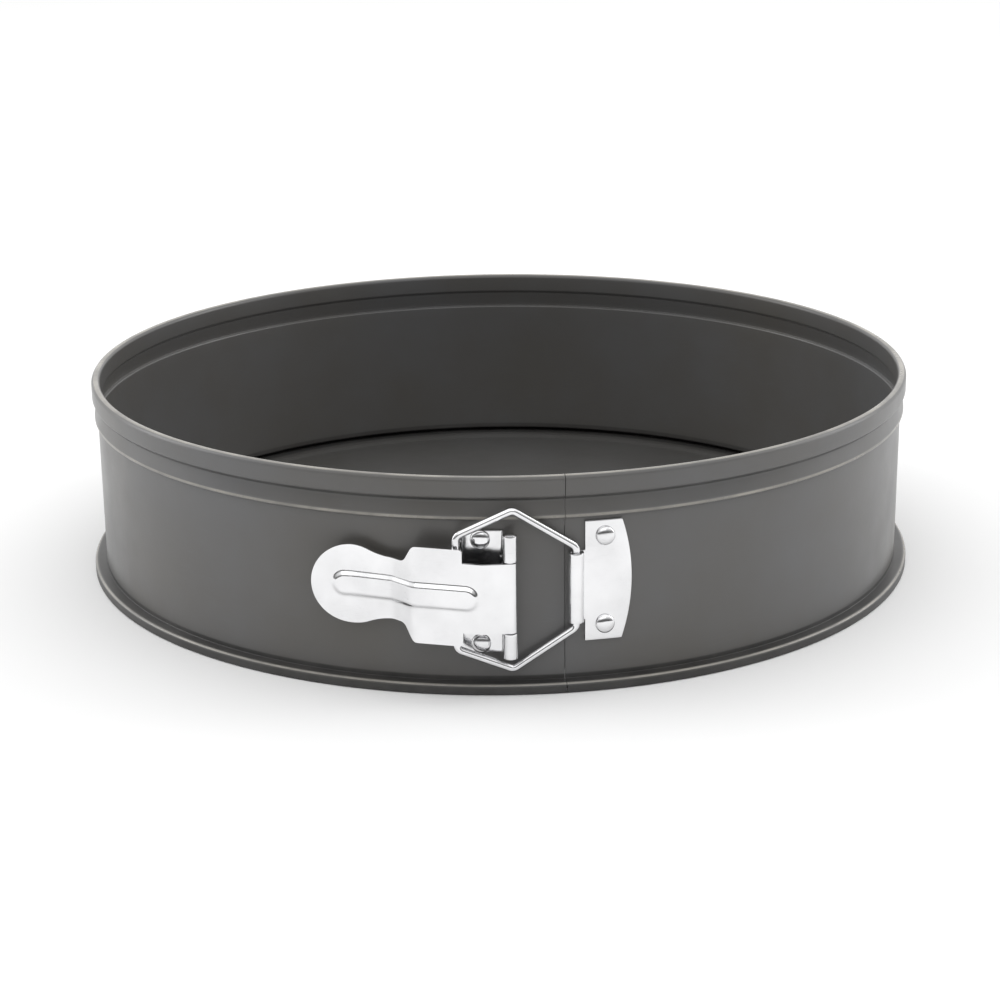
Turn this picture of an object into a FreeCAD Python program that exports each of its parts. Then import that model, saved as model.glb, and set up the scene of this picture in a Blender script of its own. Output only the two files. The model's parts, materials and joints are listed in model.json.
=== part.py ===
import FreeCAD, Part
import math
import os
import re

import Sketcher
from FreeCAD import Placement, Rotation, Vector

# Springform pan, in millimetres.  +Z is up, the latch faces -Y and the origin is the centre of
# the base's flat underside.  An angle called a turn is measured about +Z from the front.

doc = FreeCAD.newDocument("springform_pan")

# ---------------------------------------------------------------- driving dimensions
DIMENSIONS = {
    # the band: one strip of sheet, rolled at the top and flanged at the bottom
    "wall_radius": 140.0,
    "metal": 0.6,
    "pan_height": 68.0,
    "floor_gap": 0.3,
    "lip_reach": 4.1,
    "lip_top": 3.3,
    "rim_depth": 7.0,
    "rim_out": 1.6,
    "rim_in": 1.4,
    "bead_low": 54.5,
    "bead_high": 60.0,
    "bead_out": 1.1,
    # where the two band ends meet
    "seam_turn": 7.8,
    "seam_gap": 0.25,
    "tongue_turn": 10.7,
    "tongue_root": 0.2,
    "doubler_span": 4.0,
    "tongue_room": 0.3,
    "tongue_low": 6.0,
    "tongue_high": 52.0,
    # the loose base
    "base_radius": 142.0,
    "base_metal": 0.8,
    "rim_lift": 0.7,
    "foot_radius": 131.0,
    "ramp": 2.5,
    # the latch
    "plate": 0.9,
    "pin_radius": 1.1,
    "pin_head": 0.4,
    "running_gap": 0.05,
    "knuckle_radius": 2.1,
    "hinge_turn": 1.08,
    "hinge_reach": 145.8,
    "hinge_mid": 32.2,
    "bracket_height": 38.6,
    "bracket_start": -4.9,
    "bracket_end": 0.4,
    "bracket_rivet_turn": -2.46,
    "bracket_rivet_rise": 16.5,
    "middle_height": 21.8,
    "side_gap": 0.3,
    # the lever, measured from its hinge axis
    "lever_metal": 1.0,
    "lever_lift": 4.4,
    "lever_slope": 8.0,
    "lever_tilt": 2.5,
    "lever_length": 60.2,
    "wing_start": 13.7,
    "wing_end": 28.6,
    "wing_half": 15.1,
    "slit_end": 16.2,
    "slit_width": 0.9,
    "neck_place": 34.5,
    "neck_half": 9.6,
    "thumb_radius": 12.4,
    "neck_curve": 20.6,
    "thumb_drop": 1.3,
    "rib_start": 8.4,
    "rib_end": 54.3,
    "rib_half": 4.2,
    "rib_rise": 0.9,
    "hook_gap": 0.3,
    "hook_drop": 0.9,
    "hook_lip": 3.0,
    "hook_level": 13.4,
    "hook_height": 2.0,
    # the wire bail, measured from its pivot in the keeper
    "wire_radius": 1.2,
    "bail_mid": 33.3,
    "bail_crank": 16.0,
    "bail_drop": 3.0,
    "bail_side_half": 12.8,
    "bail_peak_half": 25.0,
    "bail_peak_place": 19.0,
    "bail_corner_half": 17.8,
    "bail_end_half": 9.5,
    "bail_bend": 2.4,
    # the keeper
    "keeper_mid": 34.4,
    "keeper_height": 38.0,
    "keeper_start": 10.3,
    "keeper_end": 16.2,
    "keeper_bulge": 60.0,
    "keeper_rivet_turn": 12.8,
    "keeper_rivet_rise": 14.0,
    "tab_overlap": 0.2,
    "roll_turn": 9.05,
    "roll_radius": 2.4,
    "roll_height": 22.0,
    "roll_room": 0.3,
    # rivets
    "shank_radius": 1.5,
    "head_radius": 3.0,
    "head_rise": 1.6,
    "tail_radius": 2.6,
    "tail_rise": 0.8,
    "rivet_slack": 0.04,
}

sheet = doc.addObject("Spreadsheet::Sheet", "Dims")
for row, (alias, value) in enumerate(DIMENSIONS.items(), start=1):
    sheet.set(f"A{row}", alias)
    sheet.set(f"B{row}", str(value))
    sheet.setAlias(f"B{row}", alias)
doc.recompute()

LEAST_CUT = 1e-6        # mm3
FUNCTIONS = ("sqrt", "sin", "cos", "tan", "deg")


def cells(text):
    """The expression with each plain dimension name pointed at the sheet."""
    def point(match):
        word = match.group(0)
        return word if word in FUNCTIONS else f"Dims.{word}"
    return re.sub(r"[a-z_]+", point, text)


def value(text):
    """The number that an expression gives now."""
    result = sheet.evalExpression(cells(str(text)))
    return float(getattr(result, "Value", result))


def bind(item, prop, text):
    item.setExpression(prop, cells(str(text)))


# ---------------------------------------------------------------- drawing helpers
def new_body(name):
    body = doc.addObject("PartDesign::Body", name)
    body.Label = name
    return body


def new_sketch(body, name, plane, turn="0", rise="0", roll=0.0):
    """A sketch on one of the body's own planes, turned about +Z or lifted along it."""
    sketch = body.newObject("Sketcher::SketchObject", name)
    for feature in body.Origin.OriginFeatures:
        if feature.Role == plane:
            sketch.AttachmentSupport = [(feature, "")]
    sketch.MapMode = "FlatFace"
    if plane == "XZ_Plane":
        spin = Rotation(Vector(0, 1, 0), value(turn)) * Rotation(Vector(0, 0, 1), roll)
        sketch.AttachmentOffset = Placement(Vector(0, 0, 0), spin)
    else:
        sketch.AttachmentOffset = Placement(Vector(0, 0, value(rise)), Rotation())
        bind(sketch, "AttachmentOffset.Base.z", rise)
    return sketch


def fix_point(sketch, geometry, end, across, up):
    """Ties a point to the sheet, or to an axis where its distance is nothing."""
    for kind, axis, text in (("DistanceX", -2, across), ("DistanceY", -1, up)):
        if abs(value(text)) < 1e-9:
            sketch.addConstraint(Sketcher.Constraint("PointOnObject", geometry, end, axis))
            continue
        number = sketch.addConstraint(
            Sketcher.Constraint(kind, -1, 1, geometry, end, value(text)))
        bind(sketch, f"Constraints[{number}]", text)


def arc_between(first, last, radius):
    """The arc from first to last; a positive radius turns left, a negative one turns right."""
    chord = last - first
    half = chord.Length / 2
    side = Vector(-chord.y, chord.x, 0).normalize()
    size = abs(radius)
    reach = math.sqrt(max(size * size - half * half, 0.0))
    centre = (first + last) / 2 + side * (reach if radius > 0 else -reach)
    start, stop = (first, last) if radius > 0 else (last, first)
    angles = [math.atan2(p.y - centre.y, p.x - centre.x) for p in (start, stop)]
    circle = Part.Circle(centre, Vector(0, 0, 1), size)
    if angles[1] < angles[0]:
        angles[1] += 2 * math.pi
    return Part.ArcOfCircle(circle, *angles)


def outline(sketch, corners, closed=True):
    """Lines and arcs through corners.  A corner is (across, up) and may add a dictionary:
    round=radius rounds it, arc=radius bends the side that leaves it."""
    corners = [(c[0], c[1], c[2] if len(c) > 2 else {}) for c in corners]
    count = len(corners)
    points = [Vector(value(c[0]), value(c[1]), 0) for c in corners]
    rounds = [value(c[2].get("round", 0)) for c in corners]
    sides = count if closed else count - 1
    leave, enter = list(points), list(points)
    for i in range(count):
        if not rounds[i]:
            continue
        back = (points[i - 1] - points[i]).normalize()
        ahead = (points[(i + 1) % count] - points[i]).normalize()
        trim = rounds[i] / math.tan(back.getAngle(ahead) / 2)
        enter[i] = points[i] + back * trim
        leave[i] = points[i] + ahead * trim
    ends = []
    for i in range(sides):
        after = (i + 1) % count
        bend = corners[i][2].get("arc")
        if bend is None:
            number = sketch.addGeometry(Part.LineSegment(leave[i], enter[after]))
            ends.append((number, 1, 2))
            continue
        number = sketch.addGeometry(arc_between(leave[i], enter[after], value(bend)))
        ends.append((number, 1, 2) if value(bend) > 0 else (number, 2, 1))
        radius = sketch.addConstraint(Sketcher.Constraint("Radius", number, abs(value(bend))))
        bind(sketch, f"Constraints[{radius}]", str(bend).lstrip("-"))
    for i in range(count):
        has_before = closed or i > 0
        has_after = closed or i < count - 1
        before = ends[i - 1] if has_before else None
        after = ends[i] if has_after else None
        if not rounds[i]:
            if before and after:
                sketch.addConstraint(
                    Sketcher.Constraint("Coincident", before[0], before[2], after[0], after[1]))
            place = (after[0], after[1]) if after else (before[0], before[2])
            fix_point(sketch, place[0], place[1], corners[i][0], corners[i][1])
            continue
        along_in = points[i] - enter[i]
        along_out = leave[i] - points[i]
        left_turn = along_in.cross(along_out).z > 0
        size = rounds[i] if left_turn else -rounds[i]
        number = sketch.addGeometry(arc_between(enter[i], leave[i], size))
        near, far = (1, 2) if left_turn else (2, 1)
        sketch.addConstraint(Sketcher.Constraint("Tangent", before[0], before[2], number, near))
        sketch.addConstraint(Sketcher.Constraint("Tangent", after[0], after[1], number, far))
        radius = sketch.addConstraint(Sketcher.Constraint("Radius", number, rounds[i]))
        bind(sketch, f"Constraints[{radius}]", corners[i][2]["round"])
        corner = sketch.addGeometry(Part.Point(points[i]), True)
        sketch.addConstraint(Sketcher.Constraint("PointOnObject", corner, 1, before[0]))
        sketch.addConstraint(Sketcher.Constraint("PointOnObject", corner, 1, after[0]))
        fix_point(sketch, corner, 1, corners[i][0], corners[i][1])


def circle(sketch, across, up, radius):
    centre = Vector(value(across), value(up), 0)
    number = sketch.addGeometry(Part.Circle(centre, Vector(0, 0, 1), value(radius)))
    fix_point(sketch, number, 3, across, up)
    size = sketch.addConstraint(Sketcher.Constraint("Radius", number, value(radius)))
    bind(sketch, f"Constraints[{size}]", radius)


def revolve(body, name, sketch, angle="360"):
    feature = body.newObject("PartDesign::Revolution", name)
    feature.Profile = sketch
    feature.ReferenceAxis = (sketch, ["V_Axis"])
    bind(feature, "Angle", angle)
    return feature


def pad(body, name, sketch, length):
    feature = body.newObject("PartDesign::Pad", name)
    feature.Profile = sketch
    bind(feature, "Length", length)
    return feature


def cut(body, name, sketch, depth=None):
    """A cut right through both ways, or to a depth on the sketch's far side.  It must take some
    metal away."""
    doc.recompute()
    before = body.Shape.Volume
    feature = body.newObject("PartDesign::Pocket", name)
    feature.Profile = sketch
    if depth is None:
        feature.Type = "ThroughAll"
        feature.SideType = "Symmetric"
    else:
        feature.Reversed = True
        bind(feature, "Length", depth)
    doc.recompute()
    if body.Shape.Volume >= before - LEAST_CUT:
        raise RuntimeError(f"{name} in {body.Label} takes nothing away")
    return feature


def at_turn(turn, reach, rise=0.0):
    """The point at a turn from the front and a distance from the pan's axis."""
    angle = math.radians(value(turn))
    return Vector(value(reach) * math.sin(angle), -value(reach) * math.cos(angle), value(rise))


# ---------------------------------------------------------------- the base
def make_base():
    body = new_body("base_disc")
    sketch = new_sketch(body, "base_section", "XZ_Plane")
    top = "rim_lift + base_metal"
    outline(sketch, [
        ("0", "0"),
        ("foot_radius", "0"),
        ("foot_radius + ramp", "rim_lift"),
        ("base_radius", "rim_lift"),
        ("base_radius", top),
        ("foot_radius + ramp - base_metal / 2", top),
        ("foot_radius - base_metal / 2", "base_metal"),
        ("0", "base_metal"),
    ])
    revolve(body, "base_turning", sketch)
    return body


# ---------------------------------------------------------------- the band
def band_section(sketch):
    """One thickness of sheet from the skirt of the lip up the wall and over the rolled rim."""
    inner = "wall_radius - metal"
    bend = "((rim_in + rim_out) / 2)"
    middle = "wall_radius + (rim_out - rim_in) / 2"
    roll_top = f"pan_height - {bend}"
    roll_foot = "pan_height - rim_depth"
    outline(sketch, [
        ("wall_radius + lip_reach", "floor_gap"),
        ("wall_radius + lip_reach", "lip_top", {"round": "metal * 1.3"}),
        ("wall_radius", "lip_top"),
        ("wall_radius", "bead_low"),
        ("wall_radius + bead_out", "bead_low + metal"),
        ("wall_radius + bead_out", "bead_low + metal * 2"),
        ("wall_radius", "bead_high"),
        ("wall_radius", f"{roll_foot} - metal"),
        ("wall_radius - rim_in + metal", f"{roll_foot} + metal"),
        ("wall_radius - rim_in + metal", roll_top, {"arc": f"-({bend} - metal)"}),
        (middle, "pan_height - metal", {"arc": f"-({bend} - metal)"}),
        ("wall_radius + rim_out - metal", roll_top),
        ("wall_radius + rim_out - metal", f"{roll_foot} + metal"),
        ("wall_radius + metal / 4", roll_foot),
        ("wall_radius + metal / 2", f"{roll_foot} - metal / 2"),
        ("wall_radius + rim_out", f"{roll_foot} + metal / 2"),
        ("wall_radius + rim_out", roll_top, {"arc": bend}),
        (middle, "pan_height", {"arc": bend}),
        ("wall_radius - rim_in", roll_top),
        ("wall_radius - rim_in", f"{roll_foot} + metal / 2"),
        (inner, f"{roll_foot} - metal * 3 / 2"),
        ("wall_radius + bead_out - metal", "bead_low + metal * 5 / 2"),
        ("wall_radius + bead_out - metal", "bead_low + metal * 3 / 2"),
        (inner, "bead_low + metal / 2"),
        (inner, "lip_top - metal"),
        ("wall_radius + lip_reach - metal", "lip_top - metal"),
        ("wall_radius + lip_reach - metal", "floor_gap"),
    ])


def drill_band(body, turn, middle, rise):
    for name, sign in (("upper_hole", "+"), ("lower_hole", "-")):
        sketch = new_sketch(body, f"{body.Label}_{name}_place", "XZ_Plane", turn)
        circle(sketch, "0", f"{middle} {sign} {rise}", "shank_radius")
        cut(body, f"{body.Label}_{name}", sketch, "wall_radius * 2")


def make_band_right():
    """From the back round the right side to the seam; its end lies over the other end."""
    body = new_body("band_right")
    sketch = new_sketch(body, "right_section", "XZ_Plane", "seam_turn + seam_gap - 90")
    band_section(sketch)
    revolve(body, "right_rolling", sketch, "180 - seam_turn - seam_gap")
    drill_band(body, "keeper_rivet_turn", "keeper_mid", "keeper_rivet_rise")
    return body


def make_band_left():
    """From the back round the left side past the front, ending in a tongue that tucks under."""
    body = new_body("band_left")
    sketch = new_sketch(body, "left_section", "XZ_Plane", "90")
    band_section(sketch)
    revolve(body, "left_rolling", sketch, "180 + seam_turn")
    outer = "wall_radius - metal"
    doubler = new_sketch(body, "doubler_section", "XZ_Plane", "seam_turn - 90 - doubler_span")
    outline(doubler, [
        (f"{outer} - tongue_room - metal", "tongue_low"),
        (outer, "tongue_low"),
        (outer, "tongue_high"),
        (f"{outer} - tongue_room - metal", "tongue_high"),
    ])
    revolve(body, "doubler", doubler, "doubler_span")
    tongue = new_sketch(body, "tongue_section", "XZ_Plane", "seam_turn - 90 - tongue_root")
    outline(tongue, [
        (f"{outer} - tongue_room - metal", "tongue_low"),
        (f"{outer} - tongue_room", "tongue_low"),
        (f"{outer} - tongue_room", "tongue_high"),
        (f"{outer} - tongue_room - metal", "tongue_high"),
    ])
    revolve(body, "tongue", tongue, "tongue_turn - seam_turn")
    drill_band(body, "bracket_rivet_turn", "hinge_mid", "bracket_rivet_rise")
    return body


# ---------------------------------------------------------------- the latch
def curved_plate(body, name, start, end, low, high):
    """A plate that lies against the wall between two turns."""
    sketch = new_sketch(body, f"{name}_section", "XZ_Plane", f"{start} - 90")
    outline(sketch, [
        ("wall_radius", low),
        ("wall_radius + plate", low),
        ("wall_radius + plate", high),
        ("wall_radius", high),
    ])
    revolve(body, name, sketch, f"{end} - ({start})")


def make_bracket():
    body = new_body("hinge_bracket")
    curved_plate(body, "bracket_plate", "bracket_start", "bracket_end",
                 "hinge_mid - bracket_height / 2", "hinge_mid + bracket_height / 2")
    knuckle_height = "(bracket_height - middle_height) / 2 - side_gap"
    across = "hinge_reach * sin(hinge_turn * 1deg)"
    out = "-hinge_reach * cos(hinge_turn * 1deg)"
    levels = (("lower", "hinge_mid - bracket_height / 2"),
              ("upper", "hinge_mid + middle_height / 2 + side_gap"))
    for name, level in levels:
        web = new_sketch(body, f"{name}_web_plan", "XY_Plane", rise=level)
        outline(web, [
            (f"{across} - knuckle_radius", "-wall_radius - plate / 3"),
            (f"{across} - knuckle_radius", out),
            (f"{across} - knuckle_radius + plate", out),
            (f"{across} - knuckle_radius + plate", "-wall_radius - plate / 3"),
        ])
        pad(body, f"{name}_web", web, knuckle_height)
        ring = new_sketch(body, f"{name}_knuckle_plan", "XY_Plane", rise=level)
        circle(ring, across, out, "knuckle_radius")
        pad(body, f"{name}_knuckle", ring, knuckle_height)
    bore = new_sketch(body, "bracket_bore_plan", "XY_Plane")
    circle(bore, across, out, "pin_radius")
    cut(body, "bracket_bore", bore)
    drill_band(body, "bracket_rivet_turn", "hinge_mid", "bracket_rivet_rise")
    return body


def make_pin():
    body = new_body("hinge_pin")
    sketch = new_sketch(body, "pin_section", "XZ_Plane")
    half = "bracket_height / 2"
    outline(sketch, [
        ("0", f"-{half} - pin_head"),
        ("pin_radius * 1.5", f"-{half} - pin_head"),
        ("pin_radius * 1.5", f"-{half}"),
        ("pin_radius", f"-{half}"),
        ("pin_radius", half),
        ("pin_radius * 1.5", half),
        ("pin_radius * 1.5", f"{half} + pin_head"),
        ("0", f"{half} + pin_head"),
    ])
    revolve(body, "pin_turning", sketch)
    body.Placement = Placement(at_turn("hinge_turn", "hinge_reach", "hinge_mid"), Rotation())
    return body


def make_lever():
    """Drawn about its hinge axis, running to -X, with its outer face towards -Y."""
    body = new_body("latch_lever")
    strip = new_sketch(body, "lever_side", "XY_Plane", rise="-wing_half - lever_metal")
    neck_low = "-neck_place - lever_metal"
    outline(strip, [
        ("0", "-knuckle_radius"),
        ("-wing_start / 2 - lever_metal", "-lever_lift"),
        ("-wing_end", "-lever_lift", {"round": "lever_metal * 3"}),
        (neck_low, "0", {"round": "lever_metal * 3"}),
        ("-lever_length + thumb_radius", "thumb_drop", {"round": "lever_metal * 9"}),
        ("-lever_length", "thumb_drop / 3"),
        ("-lever_length", "thumb_drop / 3 + lever_metal"),
        ("-lever_length + thumb_radius", "thumb_drop + lever_metal", {"round": "lever_metal * 8"}),
        (f"{neck_low} + lever_metal / 2", "lever_metal", {"round": "lever_metal * 4"}),
        ("-wing_end + lever_metal / 2", "-lever_lift + lever_metal", {"round": "lever_metal * 2"}),
        ("-wing_start / 2 - lever_metal", "-lever_lift + lever_metal"),
        ("-lever_metal / 2", "-knuckle_radius + lever_metal * 0.9"),
    ])
    pad(body, "lever_strip", strip, "(wing_half + lever_metal) * 2")
    trim = new_sketch(body, "lever_front", "XZ_Plane", roll=-DIMENSIONS["lever_tilt"])
    far = "(lever_length + thumb_radius)"
    tall = "(wing_half * 2)"
    outline(trim, [
        (f"-{far}", f"-{tall}"),
        ("thumb_radius", f"-{tall}"),
        ("thumb_radius", tall),
        (f"-{far}", tall),
    ])
    centre = "(lever_length - thumb_radius)"
    reach = "(thumb_radius + neck_curve)"
    run = f"({centre} - neck_place)"
    join_across = f"-({centre} - {run} * thumb_radius / {reach})"
    join_up = f"(neck_half + neck_curve) * thumb_radius / {reach}"
    half = "middle_height / 2"
    outline(trim, [
        ("knuckle_radius * 2", f"-{half}"),
        ("knuckle_radius * 2", half),
        ("-slit_end", half),
        ("-slit_end", f"{half} + slit_width"),
        ("-wing_start", f"{half} + slit_width"),
        ("-wing_start", "wing_half", {"round": "lever_metal"}),
        ("-wing_end", "wing_half", {"round": "lever_metal * 2"}),
        ("-wing_end - lever_metal * 3", "neck_half", {"round": "lever_metal * 2"}),
        ("-neck_place", "neck_half", {"arc": "-neck_curve"}),
        (join_across, join_up, {"arc": "thumb_radius"}),
        ("-lever_length", "0", {"arc": "thumb_radius"}),
        (join_across, f"-({join_up})", {"arc": "-neck_curve"}),
        ("-neck_place", "-neck_half"),
        ("-wing_end - lever_metal * 3", "-neck_half", {"round": "lever_metal * 2"}),
        ("-wing_end", "-wing_half", {"round": "lever_metal * 2"}),
        ("-wing_start", "-wing_half", {"round": "lever_metal"}),
        ("-wing_start", f"-{half} - slit_width"),
        ("-slit_end", f"-{half} - slit_width"),
        ("-slit_end", f"-{half}"),
    ])
    cut(body, "lever_outline", trim)
    knuckle = new_sketch(body, "lever_knuckle_plan", "XY_Plane", rise="-middle_height / 2")
    circle(knuckle, "0", "0", "knuckle_radius")
    pad(body, "lever_knuckle", knuckle, "middle_height")
    level = new_sketch(body, "level_ends", "XZ_Plane")
    for sign in ("-", ""):
        outline(level, [
            ("-knuckle_radius * 2", f"{sign}{half}"),
            ("knuckle_radius * 2", f"{sign}{half}"),
            ("knuckle_radius * 2", f"{sign}wing_half"),
            ("-knuckle_radius * 2", f"{sign}wing_half"),
        ])
    cut(body, "knuckle_ends", level)
    rib = new_sketch(body, "rib_side", "XY_Plane", rise="-rib_half")
    outline(rib, [
        ("-rib_start", "-lever_lift + lever_metal / 2"),
        ("-rib_start - rib_rise * 2", "-lever_lift - rib_rise"),
        ("-wing_end - rib_rise / 2", "-lever_lift - rib_rise", {"round": "lever_metal * 3"}),
        (f"{neck_low} - rib_rise / 2", "-rib_rise", {"round": "lever_metal * 3"}),
        ("-lever_length + thumb_radius", "thumb_drop - rib_rise", {"round": "lever_metal * 9"}),
        ("-rib_end + rib_rise * 2", "thumb_drop - rib_rise * 1.4"),
        ("-rib_end", "thumb_drop + lever_metal / 2"),
        ("-lever_length + thumb_radius", "thumb_drop + lever_metal / 2"),
        (neck_low, "lever_metal / 2"),
        ("-wing_end", "-lever_lift + lever_metal / 2"),
    ])
    pad(body, "lever_rib", rib, "rib_half * 2")
    back = "-bail_crank - wire_radius - hook_gap"
    for name, sign in (("upper_hook", ""), ("lower_hook", "-")):
        middle = f"{sign}hook_level + bail_crank * tan(lever_tilt * 1deg)"
        hook = new_sketch(body, f"{name}_plan", "XY_Plane", rise=f"{middle} - hook_height / 2")
        outline(hook, [
            (f"{back} - plate", "-lever_lift + lever_metal / 2"),
            (back, "-lever_lift + lever_metal / 2"),
            (back, "hook_drop"),
            (f"{back} - plate + hook_lip", "hook_drop"),
            (f"{back} - plate + hook_lip", "hook_drop + plate"),
            (f"{back} - plate", "hook_drop + plate"),
        ])
        pad(body, name, hook, "hook_height")
    bore = new_sketch(body, "lever_bore_plan", "XY_Plane")
    circle(bore, "0", "0", "pin_radius + running_gap")
    cut(body, "lever_bore", bore)
    spin = Rotation(Vector(0, 0, 1), -value("lever_slope"))
    body.Placement = Placement(at_turn("hinge_turn", "hinge_reach", "hinge_mid"), spin)
    return body


def bail_pivots():
    """The keeper pivot and the lever pivot of the wire, seen from above."""
    hinge = at_turn("hinge_turn", "hinge_reach")
    spin = Rotation(Vector(0, 0, 1), -value("lever_slope"))
    local = Vector(-value("bail_crank"), -value("lever_lift") + value("bail_drop"), 0)
    return at_turn("roll_turn", "wall_radius + roll_radius + rivet_slack"), hinge + spin.multVec(local)


def make_bail():
    """Drawn from the keeper pivot, running to +X in its own frame."""
    body = new_body("bail_wire")
    keeper, lever = bail_pivots()
    length = (lever - keeper).Length
    path = new_sketch(body, "bail_route", "XZ_Plane")
    bend = {"round": "bail_bend"}
    far = f"{length}"
    outline(path, [
        (far, "-bail_end_half"),
        (far, "-bail_corner_half", bend),
        ("bail_peak_place", "-bail_peak_half", bend),
        ("0", "-bail_side_half", bend),
        ("0", "bail_side_half", bend),
        ("bail_peak_place", "bail_peak_half", bend),
        (far, "bail_corner_half", bend),
        (far, "bail_end_half"),
    ], closed=False)
    ring = new_sketch(body, "wire_section", "XY_Plane", rise="-bail_end_half")
    circle(ring, far, "0", "wire_radius")
    doc.recompute()
    pipe = body.newObject("PartDesign::AdditivePipe", "bail_bending")
    pipe.Profile = ring
    pipe.Spine = path
    pipe.Mode = "Frenet"
    aim = lever - keeper
    spin = Rotation(Vector(0, 0, 1), math.degrees(math.atan2(aim.y, aim.x)))
    body.Placement = Placement(keeper + Vector(0, 0, value("bail_mid")), spin)
    return body


def make_keeper():
    body = new_body("keeper_plate")
    curved_plate(body, "keeper_face", "keeper_start", "keeper_end",
                 "keeper_mid - keeper_height / 2", "keeper_mid + keeper_height / 2")
    edge = new_sketch(body, "keeper_edge", "XZ_Plane", "keeper_rivet_turn")
    half = "keeper_height / 2"
    side = "wall_radius * sin((keeper_end - keeper_rivet_turn) * 1deg)"
    sag = "(keeper_bulge - sqrt(keeper_bulge * keeper_bulge - keeper_height * keeper_height / 4))"
    outline(edge, [
        (f"{side} - {sag}", f"keeper_mid - {half} - plate", {"arc": "keeper_bulge"}),
        (f"{side} - {sag}", f"keeper_mid + {half} + plate"),
        (f"{side} + plate", f"keeper_mid + {half} + plate"),
        (f"{side} + plate", f"keeper_mid - {half} - plate"),
    ])
    cut(body, "keeper_bow", edge, "wall_radius * 2")
    curved_plate(body, "keeper_tab", "roll_turn", "keeper_start + tab_overlap",
                 "bail_mid - roll_height / 2", "bail_mid + roll_height / 2")
    across = "(wall_radius + roll_radius + rivet_slack) * sin(roll_turn * 1deg)"
    out = "-(wall_radius + roll_radius + rivet_slack) * cos(roll_turn * 1deg)"
    roll = new_sketch(body, "keeper_roll_plan", "XY_Plane", rise="bail_mid - roll_height / 2")
    circle(roll, across, out, "roll_radius")
    pad(body, "keeper_roll", roll, "roll_height")
    bore = new_sketch(body, "keeper_bore_plan", "XY_Plane")
    circle(bore, across, out, "wire_radius + roll_room")
    cut(body, "keeper_bore", bore)
    drill_band(body, "keeper_rivet_turn", "keeper_mid", "keeper_rivet_rise")
    return body


def make_rivet(name, turn, middle, rise, sign):
    """Turned about an axis that points straight out from the pan."""
    body = new_body(name)
    sketch = new_sketch(body, f"{name}_section", "XY_Plane")
    inside = "wall_radius - metal - rivet_slack"
    outside = "wall_radius + plate + rivet_slack"
    outline(sketch, [
        ("0", f"-({inside} - tail_rise)"),
        ("tail_radius * 0.8", f"-({inside} - tail_rise)"),
        ("tail_radius", f"-({inside})"),
        ("shank_radius", f"-({inside})"),
        ("shank_radius", f"-({outside})"),
        ("head_radius", f"-({outside})", {"arc": "-head_radius * 1.4"}),
        ("0", f"-({outside} + head_rise)"),
    ])
    revolve(body, f"{name}_turning", sketch)
    place = Vector(0, 0, value(f"{middle} {sign} {rise}"))
    body.Placement = Placement(place, Rotation(Vector(0, 0, 1), value(turn)))
    return body


pieces = [
    make_base(),
    make_band_left(),
    make_band_right(),
    make_bracket(),
    make_pin(),
    make_lever(),
    make_bail(),
    make_keeper(),
]
for end, sign in (("upper", "+"), ("lower", "-")):
    pieces.append(make_rivet(
        f"bracket_rivet_{end}", "bracket_rivet_turn", "hinge_mid", "bracket_rivet_rise", sign))
    pieces.append(make_rivet(
        f"keeper_rivet_{end}", "keeper_rivet_turn", "keeper_mid", "keeper_rivet_rise", sign))

doc.recompute()

# ---------------------------------------------------------------- checks and files
for item in doc.Objects:
    if "Invalid" in item.State or "Error" in item.State:
        raise RuntimeError(f"{item.Label} did not rebuild: {item.State}")
os.makedirs("parts", exist_ok=True)
for piece in pieces:
    shape = piece.Shape
    if shape.isNull() or not shape.isValid() or len(shape.Solids) != 1:
        raise RuntimeError(f"{piece.Label} is not one sound solid")
    shape.exportStep(f"parts/{piece.Label}.step")
    box = shape.optimalBoundingBox(False)
    print(f"{piece.Label:22s} {shape.Volume:10.1f} mm3  "
          f"x {box.XMin:.1f}..{box.XMax:.1f}  y {box.YMin:.1f}..{box.YMax:.1f}  "
          f"z {box.ZMin:.1f}..{box.ZMax:.1f}")
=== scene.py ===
import json
import math

import bmesh
import bpy
from mathutils import Matrix, Vector


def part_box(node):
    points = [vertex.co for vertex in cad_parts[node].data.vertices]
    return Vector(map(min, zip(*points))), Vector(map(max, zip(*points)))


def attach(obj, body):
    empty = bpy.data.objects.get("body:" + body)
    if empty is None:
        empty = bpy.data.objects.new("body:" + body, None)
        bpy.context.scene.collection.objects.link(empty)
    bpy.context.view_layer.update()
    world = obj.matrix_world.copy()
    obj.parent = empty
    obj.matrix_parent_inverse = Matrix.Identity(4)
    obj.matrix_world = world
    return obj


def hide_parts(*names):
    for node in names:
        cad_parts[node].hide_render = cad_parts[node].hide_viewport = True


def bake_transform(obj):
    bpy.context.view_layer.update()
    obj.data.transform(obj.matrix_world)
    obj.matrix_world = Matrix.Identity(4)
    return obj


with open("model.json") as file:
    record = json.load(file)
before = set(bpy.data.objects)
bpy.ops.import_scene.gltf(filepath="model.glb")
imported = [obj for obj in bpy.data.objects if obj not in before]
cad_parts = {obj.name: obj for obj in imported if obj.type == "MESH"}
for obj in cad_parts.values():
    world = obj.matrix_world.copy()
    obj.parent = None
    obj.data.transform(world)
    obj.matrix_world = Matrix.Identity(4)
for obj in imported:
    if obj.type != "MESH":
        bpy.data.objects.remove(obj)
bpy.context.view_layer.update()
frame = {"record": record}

MM = 0.001

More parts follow.
